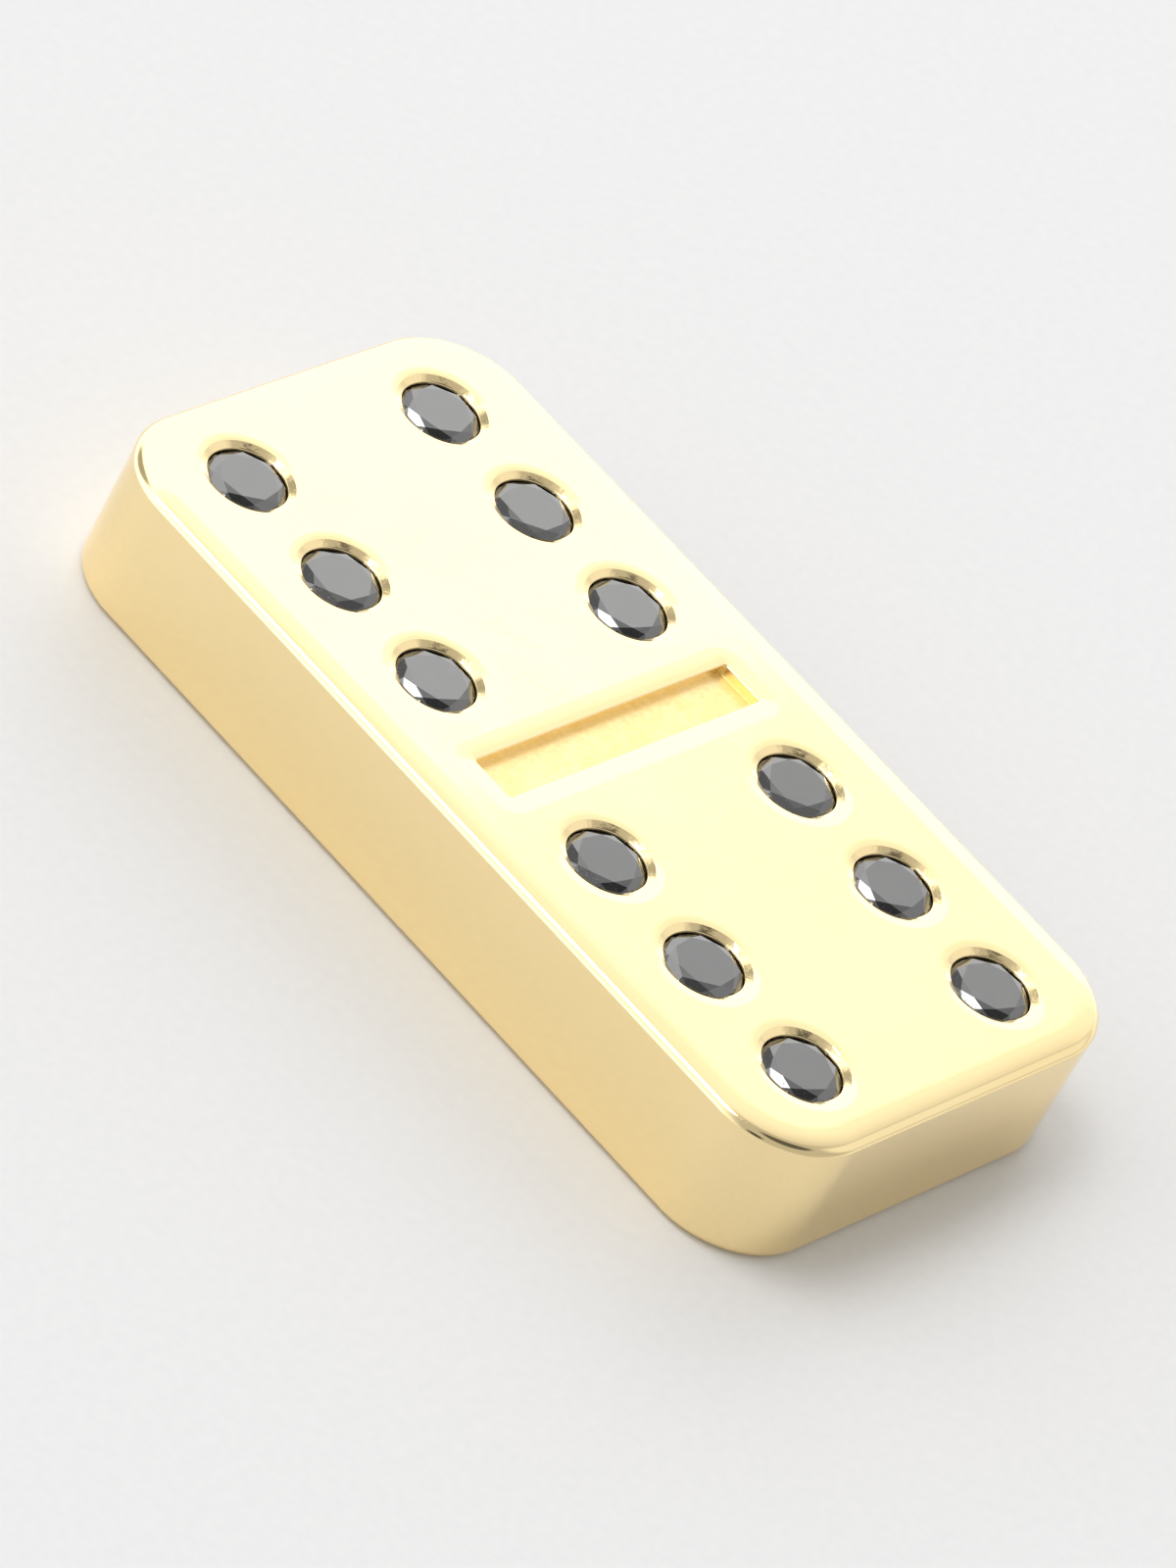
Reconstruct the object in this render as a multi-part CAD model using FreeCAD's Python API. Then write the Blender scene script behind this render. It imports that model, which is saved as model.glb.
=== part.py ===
import FreeCAD, Part
import math
import os

# A double-six domino tile in solid polished gold, with twelve flush-set brilliant-cut stones.
# Millimetres. X runs across the tile, Y along it and Z up out of the pip face.
# The origin is the centre of the underside.

# The block
LENGTH = 32.0
WIDTH = 16.35
THICKNESS = 4.8
CORNER_RADIUS = 3.1        # the four upright corners, seen from above
EDGE_RADIUS = 0.35         # the rounding between each face and the sides

# The bar across the middle, sunk in the face
BAR_LENGTH = 11.45
BAR_WIDTH = 1.62
BAR_DEPTH = 0.4
BAR_CORNER_RADIUS = 0.12
BAR_RIM_RADIUS = 0.06

# The pips: two columns of three in each half
COLUMN_SPACING = 8.75
ROW_SPACING = 4.45
FIRST_ROW = 3.95           # from the middle of the tile to the nearest row
ROWS = 3

# A round brilliant stone, as ratios of its girdle's radius where no unit is given
STONE_DIAMETER = 2.8
TABLE_RATIO = 0.7
STAR_RATIO = 0.5           # how far a star facet reaches from the table's edge to the girdle
LOWER_HALF_RATIO = 0.77    # how far a lower girdle facet reaches from the girdle to the culet
CROWN_ANGLE = 33.0
PAVILION_ANGLE = 41.0
GIRDLE_HEIGHT = 0.06
TABLE_BELOW_FACE = 0.05
MAINS = 8
TURN_PER_STONE = 17.0      # degrees; each stone happens to be turned differently in its seat

# A stone's seat: a bright-cut bevel, a lip over the girdle, a bearing cone and a drilled hole
BEVEL_RADIUS = 1.55
BEVEL_ANGLE = 32.0         # down from the face
LIP_OVERLAP = 0.06
LIP_ABOVE_GIRDLE = 0.08
GROOVE_CLEARANCE = 0.03
BEARING_CLEARANCE = 0.03
DRILL_RADIUS = 0.5
DRILL_BELOW_CULET = 0.3
DRILL_POINT_ANGLE = 118.0

CUTTER_ABOVE_FACE = 0.5    # how far each cutting tool stands out of the face
TOLERANCE = 1e-6

STONE_RADIUS = STONE_DIAMETER / 2
HALF_STEP = 180.0 / MAINS
CROWN_SLOPE = math.tan(math.radians(CROWN_ANGLE))
PAVILION_SLOPE = math.tan(math.radians(PAVILION_ANGLE))
CROWN_HEIGHT = STONE_RADIUS * (1 - TABLE_RATIO) * CROWN_SLOPE
GIRDLE_TOP = -TABLE_BELOW_FACE - CROWN_HEIGHT
GIRDLE_BOTTOM = GIRDLE_TOP - GIRDLE_HEIGHT
CULET = GIRDLE_BOTTOM - STONE_RADIUS * PAVILION_SLOPE


def polar(radius, degrees, z):
    """A point given by its radius, its direction and its height above the tile's face."""
    angle = math.radians(degrees)
    return FreeCAD.Vector(radius * math.cos(angle), radius * math.sin(angle), z)


def flat_face(*points):
    return Part.Face(Part.makePolygon(list(points) + [points[0]]))


def make_stone():
    """A brilliant of flat facets on the Z axis, with z = 0 at the tile's face."""
    between = math.cos(math.radians(HALF_STEP))
    table_z = -TABLE_BELOW_FACE
    table_radius = STONE_RADIUS * TABLE_RATIO
    table_edge = table_radius * between
    star_radius = table_edge + STAR_RATIO * (STONE_RADIUS - table_edge)
    star_z = GIRDLE_TOP + (STONE_RADIUS - star_radius * between) * CROWN_SLOPE
    lower_radius = STONE_RADIUS * (1 - LOWER_HALF_RATIO)
    lower_z = GIRDLE_BOTTOM - (STONE_RADIUS - lower_radius * between) * PAVILION_SLOPE
    culet = FreeCAD.Vector(0, 0, CULET)

    table = [polar(table_radius, 2 * HALF_STEP * k, table_z) for k in range(MAINS)]
    faces = [flat_face(*table)]
    for k in range(MAINS):
        main = 2 * HALF_STEP * k
        left = main - HALF_STEP
        right = main + HALF_STEP
        following = main + 2 * HALF_STEP
        top = polar(table_radius, main, table_z)
        next_top = polar(table_radius, following, table_z)
        star_left = polar(star_radius, left, star_z)
        star_right = polar(star_radius, right, star_z)
        upper = polar(STONE_RADIUS, main, GIRDLE_TOP)
        lower = polar(STONE_RADIUS, main, GIRDLE_BOTTOM)
        pavilion_left = polar(lower_radius, left, lower_z)
        pavilion_right = polar(lower_radius, right, lower_z)
        faces.append(flat_face(top, next_top, star_right))
        faces.append(flat_face(top, star_right, upper, star_left))
        faces.append(flat_face(culet, pavilion_left, lower, pavilion_right))
        for side, star, pavilion in ((left, star_left, pavilion_left), (right, star_right, pavilion_right)):
            side_upper = polar(STONE_RADIUS, side, GIRDLE_TOP)
            side_lower = polar(STONE_RADIUS, side, GIRDLE_BOTTOM)
            faces.append(flat_face(star, upper, side_upper))
            faces.append(flat_face(upper, side_upper, side_lower, lower))
            faces.append(flat_face(pavilion, lower, side_lower))
    stone = Part.makeSolid(Part.makeShell(faces))
    if stone.Volume < 0:
        stone.reverse()
    return stone


def make_seat_cutter():
    """The hollow that one stone sits in, turned about the Z axis, with z = 0 at the tile's face."""
    lip_radius = STONE_RADIUS - LIP_OVERLAP
    bevel_bottom = -(BEVEL_RADIUS - lip_radius) * math.tan(math.radians(BEVEL_ANGLE))
    lip_bottom = GIRDLE_TOP + LIP_ABOVE_GIRDLE
    groove_radius = STONE_RADIUS + GROOVE_CLEARANCE
    groove_top = GIRDLE_TOP + GROOVE_CLEARANCE
    groove_bottom = GIRDLE_BOTTOM - BEARING_CLEARANCE
    drill_top = groove_bottom - (groove_radius - DRILL_RADIUS) * PAVILION_SLOPE
    drill_bottom = CULET - DRILL_BELOW_CULET
    drill_tip = drill_bottom - DRILL_RADIUS / math.tan(math.radians(DRILL_POINT_ANGLE / 2))
    outline = [
        (0, CUTTER_ABOVE_FACE),
        (BEVEL_RADIUS, CUTTER_ABOVE_FACE),
        (BEVEL_RADIUS, 0),
        (lip_radius, bevel_bottom),
        (lip_radius, lip_bottom),
        (groove_radius, groove_top),
        (groove_radius, groove_bottom),
        (DRILL_RADIUS, drill_top),
        (DRILL_RADIUS, drill_bottom),
        (0, drill_tip),
    ]
    profile = flat_face(*[FreeCAD.Vector(radius, 0, z) for radius, z in outline])
    return profile.revolve(FreeCAD.Vector(0, 0, 0), FreeCAD.Vector(0, 0, 1), 360)


def upright_edges(solid):
    """The edges that run along Z."""
    return [edge for edge in solid.Edges if edge.BoundBox.XLength + edge.BoundBox.YLength < TOLERANCE]


def edges_at(solid, z):
    """The edges that lie in the plane at height z."""
    def is_level(edge):
        return abs(edge.BoundBox.ZMin - z) < TOLERANCE and abs(edge.BoundBox.ZMax - z) < TOLERANCE
    return [edge for edge in solid.Edges if is_level(edge)]


def bar_rim_edges(solid):
    """The edges where the sunk bar's walls meet the face."""
    def is_near_bar(edge):
        centre = edge.CenterOfMass
        return abs(centre.x) < BAR_LENGTH / 2 + TOLERANCE and abs(centre.y) < BAR_WIDTH / 2 + TOLERANCE
    return [edge for edge in edges_at(solid, THICKNESS) if is_near_bar(edge)]


def rounded_block(length_x, length_y, height, corner_radius):
    """A block centred on the Z axis, standing on z = 0, with rounded upright corners."""
    block = Part.makeBox(length_x, length_y, height, FreeCAD.Vector(-length_x / 2, -length_y / 2, 0))
    return block.makeFillet(corner_radius, upright_edges(block))


def make_body(pips):
    """The gold block with its rounded edges, the sunk bar and a seat for each stone."""
    body = rounded_block(WIDTH, LENGTH, THICKNESS, CORNER_RADIUS)
    body = body.makeFillet(EDGE_RADIUS, edges_at(body, 0) + edges_at(body, THICKNESS))

    bar = rounded_block(BAR_LENGTH, BAR_WIDTH, BAR_DEPTH + CUTTER_ABOVE_FACE, BAR_CORNER_RADIUS)
    bar.translate(FreeCAD.Vector(0, 0, THICKNESS - BAR_DEPTH))
    body = body.cut(bar)
    body = body.makeFillet(BAR_RIM_RADIUS, bar_rim_edges(body))

    seat = make_seat_cutter()
    for place in pips.values():
        cutter = seat.copy()
        cutter.translate(place)
        body = body.cut(cutter)
    return body.Solids[0]


def find_pips():
    """Each stone's name and the point of the face at its centre."""
    pips = {}
    for half, direction in (("a", 1), ("b", -1)):
        number = 0
        for column in (-1, 1):
            for row in range(ROWS):
                number += 1
                x = column * COLUMN_SPACING / 2
                y = direction * (FIRST_ROW + row * ROW_SPACING)
                pips["stone_%s%d" % (half, number)] = FreeCAD.Vector(x, y, THICKNESS)
    return pips


def main():
    os.makedirs("parts", exist_ok=True)
    pips = find_pips()
    shapes = {"tile_body": make_body(pips)}
    master = make_stone()
    for index, (name, place) in enumerate(pips.items()):
        stone = master.copy()
        stone.rotate(FreeCAD.Vector(0, 0, 0), FreeCAD.Vector(0, 0, 1), TURN_PER_STONE * index)
        stone.translate(place)
        shapes[name] = stone
    for name, shape in shapes.items():
        print(name, shape.ShapeType, "valid", shape.isValid(), "volume %.3f" % shape.Volume)
        shape.exportStep("parts/%s.step" % name)


main()
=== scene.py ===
import math

import bmesh
import bpy
from mathutils import Matrix, Vector
from mathutils.geometry import delaunay_2d_cdt


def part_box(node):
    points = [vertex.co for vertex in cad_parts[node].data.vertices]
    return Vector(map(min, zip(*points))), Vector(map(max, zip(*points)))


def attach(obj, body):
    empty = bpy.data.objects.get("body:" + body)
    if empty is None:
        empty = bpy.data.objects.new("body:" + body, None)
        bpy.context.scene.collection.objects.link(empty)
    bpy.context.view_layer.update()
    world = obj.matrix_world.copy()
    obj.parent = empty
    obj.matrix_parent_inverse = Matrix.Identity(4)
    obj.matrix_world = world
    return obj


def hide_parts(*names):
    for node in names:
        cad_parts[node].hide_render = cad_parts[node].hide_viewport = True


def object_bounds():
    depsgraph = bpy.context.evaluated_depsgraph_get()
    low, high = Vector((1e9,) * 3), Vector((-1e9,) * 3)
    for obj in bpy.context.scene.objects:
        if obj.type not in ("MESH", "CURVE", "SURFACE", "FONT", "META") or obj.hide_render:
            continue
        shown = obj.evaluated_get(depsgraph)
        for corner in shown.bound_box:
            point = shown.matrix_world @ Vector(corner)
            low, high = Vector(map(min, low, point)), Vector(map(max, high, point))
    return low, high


# The looks of the gold domino tile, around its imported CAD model. Metres and degrees.
# X runs across the tile, Y along it and Z up out of the pip face.

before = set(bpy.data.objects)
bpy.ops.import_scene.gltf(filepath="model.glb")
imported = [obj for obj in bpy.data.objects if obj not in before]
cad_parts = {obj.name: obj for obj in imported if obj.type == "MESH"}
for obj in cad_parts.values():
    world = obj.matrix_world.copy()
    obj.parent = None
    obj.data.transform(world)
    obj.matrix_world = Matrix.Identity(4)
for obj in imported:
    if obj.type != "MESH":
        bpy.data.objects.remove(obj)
cad_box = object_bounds()

MM = 0.001

# The block's edges: a polished fall-away, then a tight round, then a crisp corner to the side
CORNER_RADIUS = 3.1 * MM
EDGE_FALL_WIDTH = 0.72 * MM
EDGE_FALL_LEAN = 10
EDGE_ROUND_RADIUS = 0.4 * MM
EDGE_ROUND_LEAN = 60
EDGE_CORNER_RADIUS = 0.03 * MM
UNDERSIDE_EDGE_RADIUS = 0.35 * MM

# The sunk bar across the middle
BAR_LENGTH = 11.45 * MM
BAR_WIDTH = 1.62 * MM
BAR_DEPTH = 0.4 * MM
BAR_CORNER_RADIUS = 0.12 * MM
BAR_FALL_WIDTH = 0.7 * MM
BAR_FALL_LEAN = 5
BAR_RIM_RADIUS = 0.05 * MM
BAR_FLOOR_FILLET = 0.015 * MM

# A stone's seat: a fall-away ring, a soft rim, a bright-cut bevel, and the hidden bearing
SEAT_FALL_WIDTH = 0.36 * MM
SEAT_FALL_LEAN = 6
SEAT_RIM_RADIUS = 0.04 * MM
BEVEL_RADIUS = 1.55 * MM
BEVEL_LEAN = 25
LIP_RADIUS = 1.34 * MM
GROOVE_RADIUS = 1.43 * MM
LIP_BOTTOM = 0.24 * MM         # these heights are below the face
GROOVE_TOP = 0.3 * MM
GROOVE_BOTTOM = 0.42 * MM
DRILL_RADIUS = 0.5 * MM
DRILL_TOP = 1.23 * MM
DRILL_BOTTOM = 1.9 * MM
DRILL_TIP = 2.2 * MM

# Fineness of the mesh
CORNER_STEPS = 40
ROUND_STEPS = 112
LEAN_PER_STEP = 5.0

TRIANGLES_INSIDE = 1           # delaunay_2d_cdt's number for triangles inside the outlines

POLISHED, BRIGHT_CUT, SATIN = range(3)

_, body_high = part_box("tile_body")
FACE_Z = body_high.z
HALF_WIDTH = body_high.x
HALF_LENGTH = body_high.y
STONES = sorted(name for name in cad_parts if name.startswith("stone_"))


# ---------------------------------------------------------------- shapes swept round a plan


class Profile:
    """The section of a surface that is swept round a plan.

    Each point is its distance from the plan's anchors, its height, the lean of its normal from
    upright, in degrees and positive away from the anchors, and the finish of the metal up to it.
    travel is 1 where the section starts by running away from the anchors, and -1 where it runs inwards.
    """

    def __init__(self, reach, height, travel):
        self.points = [(reach, height, 0.0, POLISHED)]
        self.travel = travel

    def bend(self, lean, radius, finish=POLISHED):
        """A round stretch up to that lean. A negative radius makes a hollow one."""
        reach, height, start, _ = self.points[-1]
        middle_reach = reach - radius * math.sin(math.radians(start))
        middle_height = height - radius * math.cos(math.radians(start))
        steps = max(2, math.ceil(abs(lean - start) / LEAN_PER_STEP))
        for step in range(1, steps + 1):
            angle = start + (lean - start) * step / steps
            across = middle_reach + radius * math.sin(math.radians(angle))
            up = middle_height + radius * math.cos(math.radians(angle))
            self.points.append((across, up, angle, finish))
        return self

    def run_to_height(self, height, finish=POLISHED):
        """A straight stretch, tangent to what comes before, down to that height."""
        reach, start_height, lean, _ = self.points[-1]
        slope = math.tan(math.radians(lean))
        self.points.append((reach + (start_height - height) / slope, height, lean, finish))
        return self

    def corner_to(self, reach, height, finish=POLISHED):
        """A straight stretch to that point, with a sharp corner before it."""
        last_reach, last_height, _, _ = self.points[-1]
        lean = math.degrees(math.atan2(last_height - height, reach - last_reach))
        if self.travel < 0:
            lean -= 180
        self.points.append((reach, height, lean, finish))
        return self

    def ending_at(self, reach):
        """The same section, moved so that its widest point has that reach."""
        widest = max(point[0] for point in self.points)
        self.points = [(point[0] + reach - widest, *point[1:]) for point in self.points]
        return self


def rectangle_plan(half_x, half_y, radius):
    """Anchors and directions of a rounded rectangle, whose outline lies at that radius from them."""
    plan = []
    for quarter, (side_x, side_y) in enumerate(((1, 1), (-1, 1), (-1, -1), (1, -1))):
        anchor = Vector((side_x * (half_x - radius), side_y * (half_y - radius)))
        for step in range(CORNER_STEPS + 1):
            angle = math.radians(90 * (quarter + step / CORNER_STEPS))
            plan.append((anchor, Vector((math.cos(angle), math.sin(angle)))))
    return plan


def circle_plan(centre):
    """Anchors and directions of a circle."""
    plan = []
    for step in range(ROUND_STEPS):
        angle = math.radians(360 * step / ROUND_STEPS)
        plan.append((Vector((centre.x, centre.y)), Vector((math.cos(angle), math.sin(angle)))))
    return plan


class Solid:
    """A closed mesh put together from swept surfaces, with an exact normal at each point."""

    def __init__(self):
        self.mesh = bmesh.new()
        self.normals = []

    def add_point(self, place, normal):
        self.normals.append(normal)
        return self.mesh.verts.new(place)

    def sweep(self, plan, profile):
        """Sweeps the section round the plan, and returns its first and last loops of points."""
        loops = []
        for reach, height, lean, finish in profile.points:
            sideways = math.sin(math.radians(lean))
            upwards = math.cos(math.radians(lean))
            loop = []
            for anchor, direction in plan:
                flat = anchor + direction * reach
                normal = Vector((*(direction * sideways), upwards))
                loop.append(self.add_point((*flat, height), normal))
            if loops:
                self.bridge(loops[-1], loop, finish)
            loops.append(loop)
        return loops[0], loops[-1]

    def bridge(self, one, other, finish):
        for i in range(len(one)):
            following = (i + 1) % len(one)
            face = self.mesh.faces.new((one[i], one[following], other[following], other[i]))
            face.material_index = finish

    def fan(self, loop, tip, finish):
        """Closes a loop with triangles that meet at a point."""
        apex = self.add_point(tip, Vector((0, 0, 1)))
        for i in range(len(loop)):
            face = self.mesh.faces.new((loop[i], loop[(i + 1) % len(loop)], apex))
            face.material_index = finish

    def fill(self, loops, finish):
        """Fills the flat inside the first closed loop and outside the others, which lie in it."""
        corners = []
        outlines = []
        for loop in loops:
            outlines.append(list(range(len(corners), len(corners) + len(loop))))
            corners += loop
        places = [corner.co.xy / MM for corner in corners]
        _, _, triangles, sources, _, insides = delaunay_2d_cdt(places, [], outlines, TRIANGLES_INSIDE, 0)
        for triangle, inside in zip(triangles, insides):
            if list(inside) == [0]:
                face = self.mesh.faces.new([corners[sources[place][0]] for place in triangle])
                face.material_index = finish

    def make_object(self, name, materials):
        bmesh.ops.recalc_face_normals(self.mesh, faces=self.mesh.faces)
        data = bpy.data.meshes.new(name)
        self.mesh.to_mesh(data)
        self.mesh.free()
        for polygon in data.polygons:
            polygon.use_smooth = True
        data.normals_split_custom_set_from_vertices(self.normals)
        for material in materials:
            data.materials.append(material)
        piece = bpy.data.objects.new(name, data)
        bpy.context.scene.collection.objects.link(piece)
        return piece


# ---------------------------------------------------------------- the gold block


def fall_radius(width, lean):
    """The radius of an arc that leans by that much over that width."""
    return width / math.sin(math.radians(lean))


def side_profile():
    """From the flat of the face, over the edge, down the side and under to the flat of the underside."""
    profile = Profile(0, FACE_Z, 1)
    profile.bend(EDGE_FALL_LEAN, fall_radius(EDGE_FALL_WIDTH, EDGE_FALL_LEAN))
    profile.bend(EDGE_ROUND_LEAN, EDGE_ROUND_RADIUS)
    profile.bend(90, EDGE_CORNER_RADIUS)
    profile.ending_at(CORNER_RADIUS)
    profile.run_to_height(UNDERSIDE_EDGE_RADIUS)
    profile.bend(180, UNDERSIDE_EDGE_RADIUS)
    return profile


def bar_profile():
    """From the flat of the face into the sunk bar and down to the flat of its floor."""
    profile = Profile(0, FACE_Z, -1)
    profile.bend(-BAR_FALL_LEAN, fall_radius(BAR_FALL_WIDTH, BAR_FALL_LEAN))
    profile.bend(-90, BAR_RIM_RADIUS)
    wall_reach = profile.points[-1][0]
    profile.points = [(point[0] + BAR_CORNER_RADIUS - wall_reach, *point[1:]) for point in profile.points]
    profile.run_to_height(FACE_Z - BAR_DEPTH + BAR_FLOOR_FILLET)
    profile.bend(0, -BAR_FLOOR_FILLET, SATIN)
    return profile


def seat_profile():
    """From the flat of the face, over the rim and down the bevel to the lip, and on into the seat."""
    start = BEVEL_RADIUS + SEAT_FALL_WIDTH
    profile = Profile(start, FACE_Z, -1)
    profile.bend(-SEAT_FALL_LEAN, fall_radius(SEAT_FALL_WIDTH, SEAT_FALL_LEAN))
    profile.bend(-BEVEL_LEAN, SEAT_RIM_RADIUS)
    reach, height, _, _ = profile.points[-1]
    bevel_drop = (reach - LIP_RADIUS) * math.tan(math.radians(BEVEL_LEAN))
    profile.run_to_height(height - bevel_drop, BRIGHT_CUT)
    profile.corner_to(LIP_RADIUS, FACE_Z - LIP_BOTTOM, BRIGHT_CUT)
    profile.corner_to(GROOVE_RADIUS, FACE_Z - GROOVE_TOP, SATIN)
    profile.corner_to(GROOVE_RADIUS, FACE_Z - GROOVE_BOTTOM, SATIN)
    profile.corner_to(DRILL_RADIUS, FACE_Z - DRILL_TOP, SATIN)
    profile.corner_to(DRILL_RADIUS, FACE_Z - DRILL_BOTTOM, SATIN)
    return profile


def make_gold_block(materials):
    solid = Solid()
    plan = rectangle_plan(HALF_WIDTH, HALF_LENGTH, CORNER_RADIUS)
    face_edge, underside_edge = solid.sweep(plan, side_profile())
    plan = rectangle_plan(BAR_LENGTH / 2, BAR_WIDTH / 2, BAR_CORNER_RADIUS)
    bar_edge, bar_floor = solid.sweep(plan, bar_profile())
    openings = [bar_edge]
    for name in STONES:
        low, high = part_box(name)
        centre = (low + high) / 2
        seat_edge, seat_bottom = solid.sweep(circle_plan(centre), seat_profile())
        solid.fan(seat_bottom, (centre.x, centre.y, FACE_Z - DRILL_TIP), SATIN)
        openings.append(seat_edge)
    solid.fill([face_edge] + openings, POLISHED)
    solid.fill([bar_floor], SATIN)
    solid.fill([underside_edge], POLISHED)
    block = solid.make_object("gold_block", materials)
    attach(block, "root")
    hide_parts("tile_body")
    return block


# ---------------------------------------------------------------- materials


class Shader:
    """A short way to write a material's nodes."""

    def __init__(self, name):
        self.material = bpy.data.materials.new(name)
        self.material.use_nodes = True
        self.nodes = self.material.node_tree.nodes
        self.links = self.material.node_tree.links
        self.surface = self.nodes["Principled BSDF"]
        self.place = self.nodes.new("ShaderNodeTexCoord").outputs["Object"]

    def join(self, value, socket):
        """Sets a socket to a number, or links it to another node's output."""
        if isinstance(value, bpy.types.NodeSocket):
            self.links.new(value, socket)
        else:
            socket.default_value = value

    def give(self, name, value):
        """Sets one of the surface's own inputs."""
        self.join(value, self.surface.inputs[name])

    def noise(self, size, detail=3.0, stretch=(1, 1, 1), turn=0.0):
        """Noise with features of about that size, in metres.

        stretch makes it longer along an axis, and turn is that axis's turn about Z, in degrees.
        """
        mapping = self.nodes.new("ShaderNodeMapping")
        mapping.vector_type = "TEXTURE"
        self.join(self.place, mapping.inputs["Vector"])
        mapping.inputs["Rotation"].default_value[2] = math.radians(turn)
        mapping.inputs["Scale"].default_value = [size * s for s in stretch]
        noise = self.nodes.new("ShaderNodeTexNoise")
        noise.inputs["Scale"].default_value = 1.0
        noise.inputs["Detail"].default_value = detail
        self.join(mapping.outputs["Vector"], noise.inputs["Vector"])
        return noise.outputs["Fac"]

    def spread(self, value, low, high, to_low, to_high):
        """Maps a range of values to another, and clamps it."""
        node = self.nodes.new("ShaderNodeMapRange")
        for name, number in (("Value", value), ("From Min", low), ("From Max", high),
                             ("To Min", to_low), ("To Max", to_high)):
            self.join(number, node.inputs[name])
        return node.outputs["Result"]

    def math(self, operation, one, other):
        node = self.nodes.new("ShaderNodeMath")
        node.operation = operation
        self.join(one, node.inputs[0])
        self.join(other, node.inputs[1])
        return node.outputs["Value"]

    def blend(self, factor, one, other):
        """A colour between two colours."""
        node = self.nodes.new("ShaderNodeMix")
        node.data_type = "RGBA"
        self.join(factor, node.inputs["Factor"])
        self.join(one, node.inputs["A"])
        self.join(other, node.inputs["B"])
        return node.outputs["Result"]

    def bump(self, height, depth, under=None):
        """Relief of that depth, in metres, on top of another bump's normals."""
        node = self.nodes.new("ShaderNodeBump")
        node.inputs["Strength"].default_value = 1.0
        node.inputs["Distance"].default_value = depth
        self.join(height, node.inputs["Height"])
        if under is not None:
            self.join(under, node.inputs["Normal"])
        return node.outputs["Normal"]


GOLD = (1.0, 0.82, 0.46, 1)
GOLD_DEEP = (1.0, 0.79, 0.42, 1)
GOLD_SATIN = (1.0, 0.76, 0.35, 1)
STONE_BLACK = (0.004, 0.004, 0.005, 1)
STONE_GREY = (0.016, 0.015, 0.015, 1)
STONE_IOR = 2.42               # diamond's
FLOOR_GREY = (0.72, 0.72, 0.73, 1)
FLOOR_PALE = (0.78, 0.78, 0.785, 1)

HAIRLINE_WIDTH = 0.07 * MM
HAIRLINE_STRETCH = 60
HAIRLINE_TURNS = (12, 75, 131)
HAIRLINE_DEPTH = 0.0006 * MM
HAIRLINE_ROUGHNESS = 0.06      # added to the polish in a line
POLISH_WAVE_DEPTH = 0.003 * MM
CUT_WAVE_DEPTH = 0.012 * MM
SATIN_WAVE_DEPTH = 0.02 * MM
SATIN_MARK_DEPTH = 0.0015 * MM
STONE_PIT_DEPTH = 0.002 * MM
FLOOR_GRAIN_DEPTH = 0.002 * MM


def hairlines(shader):
    """Fine polishing lines in several directions, as one value that is 1 in a line."""
    lines = 0.0
    for turn in HAIRLINE_TURNS:
        streak = shader.noise(HAIRLINE_WIDTH, detail=2.0, stretch=(HAIRLINE_STRETCH, 1, 1), turn=turn)
        lines = shader.math("MAXIMUM", shader.spread(streak, 0.66, 0.74, 0.0, 1.0), lines)
    return lines


def polished_gold():
    shader = Shader("polished_gold")
    shader.give("Metallic", 1.0)
    shader.give("Base Color", shader.blend(shader.noise(6 * MM), GOLD, GOLD_DEEP))
    lines = hairlines(shader)
    smear = shader.spread(shader.noise(2.5 * MM, detail=5.0), 0.35, 0.7, 0.035, 0.075)
    shader.give("Roughness", shader.math("ADD", smear, shader.math("MULTIPLY", lines, HAIRLINE_ROUGHNESS)))
    waves = shader.bump(shader.noise(4 * MM, detail=1.0), POLISH_WAVE_DEPTH)
    shader.give("Normal", shader.bump(lines, -HAIRLINE_DEPTH, waves))
    return shader.material


def bright_cut_gold():
    shader = Shader("bright_cut_gold")
    shader.give("Metallic", 1.0)
    shader.give("Base Color", shader.blend(shader.noise(1.5 * MM), GOLD, GOLD_DEEP))
    shader.give("Roughness", shader.spread(shader.noise(0.3 * MM), 0.3, 0.7, 0.04, 0.12))
    shader.give("Normal", shader.bump(shader.noise(0.35 * MM, detail=2.0), CUT_WAVE_DEPTH))
    return shader.material


def satin_gold():
    shader = Shader("satin_gold")
    shader.give("Metallic", 1.0)
    tone = shader.spread(shader.noise(0.8 * MM), 0.35, 0.65, 0.0, 1.0)
    shader.give("Base Color", shader.blend(tone, GOLD_DEEP, GOLD_SATIN))
    shader.give("Roughness", shader.spread(shader.noise(0.2 * MM), 0.3, 0.7, 0.34, 0.5))
    uneven = shader.bump(shader.noise(0.9 * MM, detail=3.0), SATIN_WAVE_DEPTH)
    marks = shader.noise(0.06 * MM, stretch=(1, 12, 1))
    shader.give("Normal", shader.bump(marks, SATIN_MARK_DEPTH, uneven))
    return shader.material


def black_stone():
    shader = Shader("black_stone")
    shader.give("IOR", STONE_IOR)
    cloud = shader.spread(shader.noise(0.5 * MM, detail=6.0), 0.35, 0.75, 0.0, 1.0)
    shader.give("Base Color", shader.blend(cloud, STONE_BLACK, STONE_GREY))
    shader.give("Roughness", shader.spread(shader.noise(0.12 * MM), 0.4, 0.8, 0.015, 0.08))
    pits = shader.spread(shader.noise(0.045 * MM, detail=1.0), 0.70, 0.78, 0.0, 1.0)
    shader.give("Normal", shader.bump(pits, -STONE_PIT_DEPTH))
    return shader.material


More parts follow.
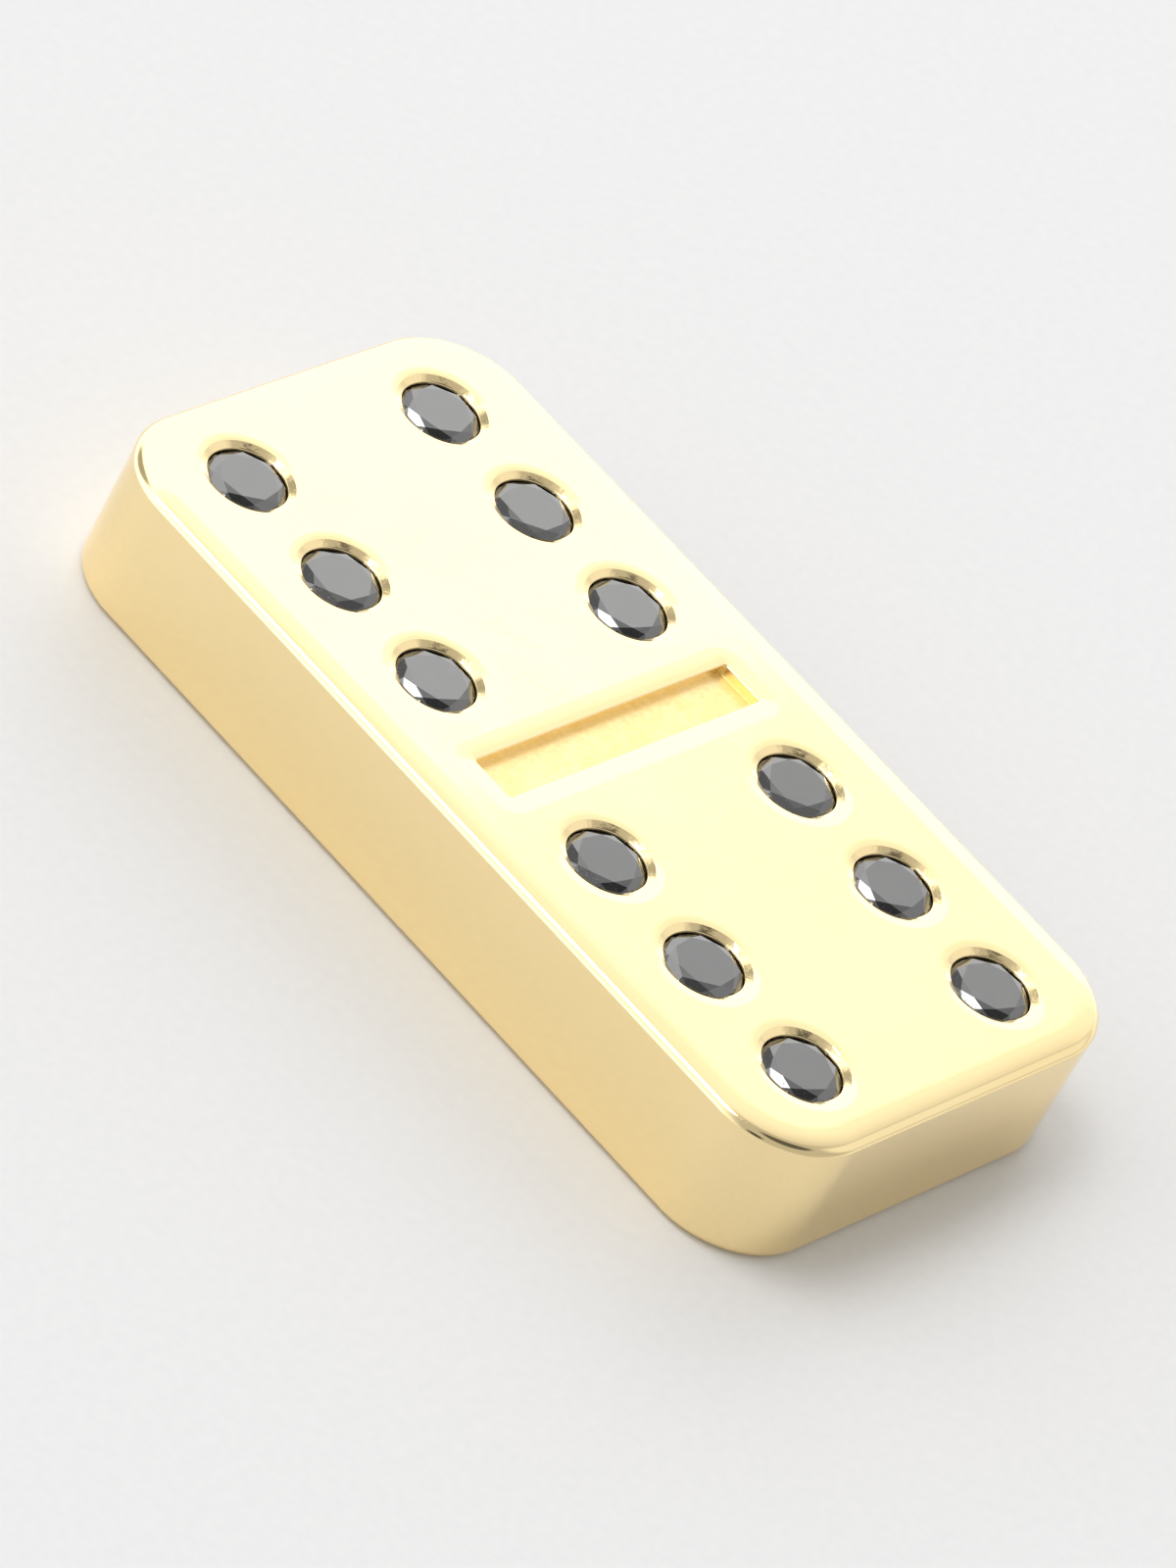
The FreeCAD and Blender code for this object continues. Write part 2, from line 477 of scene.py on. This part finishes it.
def pale_floor():
    shader = Shader("pale_floor")
    grain = shader.noise(0.4 * MM, detail=4.0)
    shader.give("Base Color", shader.blend(grain, FLOOR_GREY, FLOOR_PALE))
    shader.give("Roughness", shader.spread(grain, 0.3, 0.7, 0.42, 0.5))
    shader.give("Normal", shader.bump(grain, FLOOR_GRAIN_DEPTH))
    return shader.material


# ---------------------------------------------------------------- studio


def heading(azimuth, elevation):
    """The unit vector towards a point of the sky. Azimuth is anticlockwise from +X."""
    a, e = math.radians(azimuth), math.radians(elevation)
    return Vector((math.cos(a) * math.cos(e), math.sin(a) * math.cos(e), math.sin(e)))


# The studio is bright behind the tile's far end and dim behind its near end. LIT_SIDE points to the
# bright side, and each step says where along it the light changes, from and to, and the light after it.
LIT_SIDE = (90, -30)
DIM_LIGHT = 0.55
LIGHT_COLOUR = (1.0, 0.995, 0.985, 1)
LIGHT_STEPS = (
    (-0.45, -0.10, 1.15),
    (-0.10, -0.03, 1.45),
    (-0.004, 0.004, 1.9),
)
HORIZON_LIGHT = 1.0
HORIZON_HEIGHT = 0.35          # where the horizon's glow ends, as the sine of its elevation

# Round panels and flags: azimuth, elevation, radius, soft rim, light
PANELS = (
    (-30, 35, 15, 12, 0.95),
    (-90, 69, 13, 6, 0.12),
    (85, 36, 11, 12, 0.45),
    (122, 66, 9, 4, 7.0),
    (206, 38, 6, 4, 0.04),
)


def make_world():
    world = bpy.data.worlds.new("studio")
    world.use_nodes = True
    bpy.context.scene.world = world
    nodes, links = world.node_tree.nodes, world.node_tree.links
    sky = nodes.new("ShaderNodeTexCoord").outputs["Generated"]

    def along(direction):
        node = nodes.new("ShaderNodeVectorMath")
        node.operation = "DOT_PRODUCT"
        links.new(sky, node.inputs[0])
        node.inputs[1].default_value = direction
        return node.outputs["Value"]

    def change(light, value, start, end, new_light):
        """Moves the light smoothly to a new level as the value goes from start to end."""
        ramp = nodes.new("ShaderNodeMapRange")
        ramp.interpolation_type = "SMOOTHSTEP"
        links.new(value, ramp.inputs["Value"])
        ramp.inputs["From Min"].default_value = start
        ramp.inputs["From Max"].default_value = end
        mix = nodes.new("ShaderNodeMix")
        links.new(ramp.outputs["Result"], mix.inputs["Factor"])
        if isinstance(light, float):
            mix.inputs["A"].default_value = light
        else:
            links.new(light, mix.inputs["A"])
        mix.inputs["B"].default_value = new_light
        return mix.outputs["Result"]

    light = change(DIM_LIGHT, along((0, 0, 1)), HORIZON_HEIGHT, 0.0, HORIZON_LIGHT)
    lit = along(heading(*LIT_SIDE))
    for start, end, new_light in LIGHT_STEPS:
        light = change(light, lit, start, end, new_light)
    for azimuth, elevation, radius, rim, new_light in PANELS:
        outer = math.cos(math.radians(radius + rim))
        inner = math.cos(math.radians(radius))
        light = change(light, along(heading(azimuth, elevation)), outer, inner, new_light)
    links.new(light, nodes["Background"].inputs["Strength"])
    nodes["Background"].inputs["Color"].default_value = LIGHT_COLOUR


FLOOR_SIZE = 6.0
FLOOR_CELLS = 8


def make_floor():
    floor_mesh = bmesh.new()
    bmesh.ops.create_grid(floor_mesh, x_segments=FLOOR_CELLS, y_segments=FLOOR_CELLS, size=FLOOR_SIZE / 2)
    data = bpy.data.meshes.new("floor")
    floor_mesh.to_mesh(data)
    floor_mesh.free()
    data.materials.append(pale_floor())
    floor = bpy.data.objects.new("floor", data)
    bpy.context.scene.collection.objects.link(floor)


CAMERA_AZIMUTH = -63.8         # 0 looks along +Y, 90 along -X
CAMERA_ELEVATION = 37.7
CAMERA_DISTANCE = 0.3215
CAMERA_ROLL = 29.9             # how far the camera's top leans to its left
CAMERA_LENS = 245.0            # for a sensor whose long side is 36
CAMERA_CLIP_START = 0.01


def make_camera():
    data = bpy.data.cameras.new("camera")
    data.lens = CAMERA_LENS
    data.clip_start = CAMERA_CLIP_START
    camera = bpy.data.objects.new("camera", data)
    bpy.context.scene.collection.objects.link(camera)
    bpy.context.scene.camera = camera
    back = heading(CAMERA_AZIMUTH - 90, CAMERA_ELEVATION)
    middle = (cad_box[0] + cad_box[1]) / 2
    level = (-back).to_track_quat("-Z", "Y").to_matrix().to_4x4()
    roll = Matrix.Rotation(math.radians(CAMERA_ROLL), 4, "Z")
    camera.matrix_world = Matrix.Translation(middle + back * CAMERA_DISTANCE) @ level @ roll


def main():
    make_gold_block([polished_gold(), bright_cut_gold(), satin_gold()])
    stone_material = black_stone()
    for name in STONES:
        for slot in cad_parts[name].material_slots:
            slot.material = stone_material
    make_floor()
    make_world()
    make_camera()
    bpy.context.scene.view_settings.view_transform = "Standard"


main()
